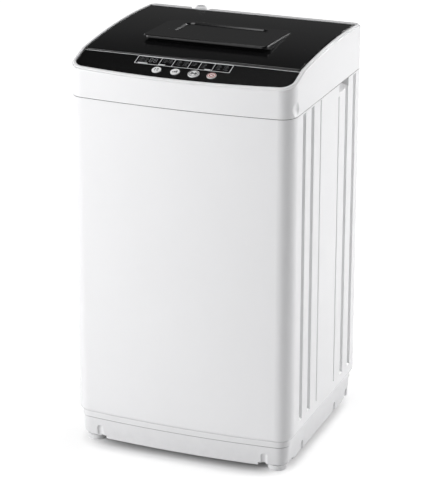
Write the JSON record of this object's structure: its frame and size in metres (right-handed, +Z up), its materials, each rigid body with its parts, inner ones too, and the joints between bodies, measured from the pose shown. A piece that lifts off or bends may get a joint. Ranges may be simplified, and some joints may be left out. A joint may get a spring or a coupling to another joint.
{
  "type": "top load washing machine",
  "caption": "Compact top load washing machine: white bowed cabinet with grooved sides, domed black lid with a raised grip, sloped push button panel, hung tub, basket and pulsator.",
  "frame": {"origin": "on the floor, under the middle of the machine's bounding box", "axes": "+Z up, front towards -Y, +X to the right of someone facing the back wall from the front"},
  "size_m": [0.43, 0.4, 0.773],
  "materials": {
    "white_gloss": "gloss",
    "white_satin": "satin",
    "black_gloss": "gloss",
    "display_black": "gloss",
    "button_silver": "gloss",
    "foot_plastic": "satin",
    "grey_plastic": "satin",
    "board_green": "satin",
    "zinc_steel": "satin",
    "spring_steel": "satin",
    "cast_alloy": "satin",
    "motor_paint": "satin",
    "black_rubber": "matte",
    "soft_grey": "matte",
    "tub_plastic": "satin",
    "basket_plastic": "satin",
    "pulsator_blue": "satin"
  },
  "bodies": {
    "cabinet": {"cabinet": "white_gloss", "back_panel": "white_satin", "cord_gland": "black_rubber", "back_screws": "zinc_steel", "base": "white_satin", "rear_feet": "foot_plastic", "top_frame": "white_gloss", "control_panel": "black_gloss", "display_window": "display_black", "control_board": "board_green", "hinge_pins": "zinc_steel", "lid_switch": "grey_plastic", "inlet_valve": "white_satin", "inlet_spout": "white_satin", "level_sensor": "grey_plastic", "air_tube": "soft_grey", "drain_outlet": "grey_plastic", "drain_hose": "soft_grey", "run_capacitor": "grey_plastic", "hanger_brackets": "grey_plastic", "suspension_rods": "zinc_steel", "spring_caps": "grey_plastic", "suspension_springs": "spring_steel"},
    "lid": {"lid": "black_gloss", "lid_bumpers": "soft_grey"},
    "button_program": {"button_program": "button_silver"},
    "button_level": {"button_level": "button_silver"},
    "button_start": {"button_start": "button_silver"},
    "button_power": {"button_power": "button_silver"},
    "foot_left": {"foot_left": "foot_plastic"},
    "foot_right": {"foot_right": "foot_plastic"},
    "tub": {"outer_tub": "tub_plastic", "tub_ring": "tub_plastic", "shaft_seal": "black_rubber", "chassis_plate": "zinc_steel", "gearbox": "cast_alloy", "motor_body": "motor_paint", "motor_bushes": "black_rubber", "belt": "black_rubber", "drain_valve": "grey_plastic", "drain_actuator": "grey_plastic", "damper_cups": "grey_plastic"},
    "basket": {"basket_wall": "basket_plastic", "basket_base": "basket_plastic", "balance_ring": "basket_plastic", "lint_filter": "white_satin", "spin_shaft": "zinc_steel"},
    "pulsator": {"pulsator": "pulsator_blue", "pulsator_shaft": "zinc_steel", "pulsator_screw": "zinc_steel"},
    "drive": {"drive_pulley": "cast_alloy", "input_shaft": "zinc_steel"},
    "rotor": {"motor_pulley": "cast_alloy", "motor_shaft": "zinc_steel"},
    "drain_rod": {"drain_rod": "zinc_steel"},
    "brake_lever": {"brake_lever": "zinc_steel"}
  },
  "joints": [
    {"name": "lid_hinge", "type": "hinge", "parent": "cabinet", "child": "lid", "pos_m": [0, 0.168, 0.76034], "axis": [-1, 0, 0], "range_deg": [0, 92]},
    {"name": "program_press", "type": "slide", "parent": "cabinet", "child": "button_program", "axis": [0, 0.3156, -0.9489], "range_m": [0, 0.0012], "stiffness_N_per_m": 600, "springref_m": -0.0005},
    {"name": "level_press", "type": "slide", "parent": "cabinet", "child": "button_level", "axis": [0, 0.3156, -0.9489], "range_m": [0, 0.0012], "stiffness_N_per_m": 600, "springref_m": -0.0005},
    {"name": "start_press", "type": "slide", "parent": "cabinet", "child": "button_start", "axis": [0, 0.3156, -0.9489], "range_m": [0, 0.0012], "stiffness_N_per_m": 600, "springref_m": -0.0005},
    {"name": "power_press", "type": "slide", "parent": "cabinet", "child": "button_power", "axis": [0, 0.3156, -0.9489], "range_m": [0, 0.0012], "stiffness_N_per_m": 600, "springref_m": -0.0005},
    {"name": "foot_left_level", "type": "slide", "parent": "cabinet", "child": "foot_left", "axis": [0, 0, -1], "range_m": [0, 0.012]},
    {"name": "foot_right_level", "type": "slide", "parent": "cabinet", "child": "foot_right", "axis": [0, 0, -1], "range_m": [0, 0.012]},
    {"name": "tub_bounce", "type": "slide", "parent": "cabinet", "child": "tub", "axis": [0, 0, 1], "range_m": [-0.02, 0.01], "stiffness_N_per_m": 6000, "springref_m": 0.02417, "deforming": ["suspension_springs", "air_tube", "drain_hose"]},
    {"name": "basket_spin", "type": "hinge", "parent": "tub", "child": "basket", "pos_m": [0, 0, 0.4], "axis": [0, 0, 1], "continuous": true},
    {"name": "pulsator_spin", "type": "hinge", "parent": "tub", "child": "pulsator", "pos_m": [0, 0, 0.25], "axis": [0, 0, 1], "continuous": true},
    {"name": "drive_spin", "type": "hinge", "parent": "tub", "child": "drive", "pos_m": [0, 0, 0.09], "axis": [0, 0, 1], "continuous": true},
    {"name": "motor_spin", "type": "hinge", "parent": "tub", "child": "rotor", "pos_m": [0.118, 0, 0.09], "axis": [0, 0, 1], "continuous": true},
    {"name": "drain_pull", "type": "slide", "parent": "tub", "child": "drain_rod", "axis": [1, 0, 0], "range_m": [0, 0.008], "stiffness_N_per_m": 600, "springref_m": -0.004},
    {"name": "brake_swing", "type": "hinge", "parent": "tub", "child": "brake_lever", "pos_m": [0, 0.066, 0.166], "axis": [0, 0, 1], "range_deg": [-18.6, 0]}
  ],
  "couplings": [
    {"joint": "drive_spin", "follows": "pulsator_spin", "ratio": 5},
    {"joint": "motor_spin", "follows": "pulsator_spin", "ratio": 15},
    {"joint": "brake_swing", "follows": "drain_pull", "rad_per_m": -40.219}
  ]
}
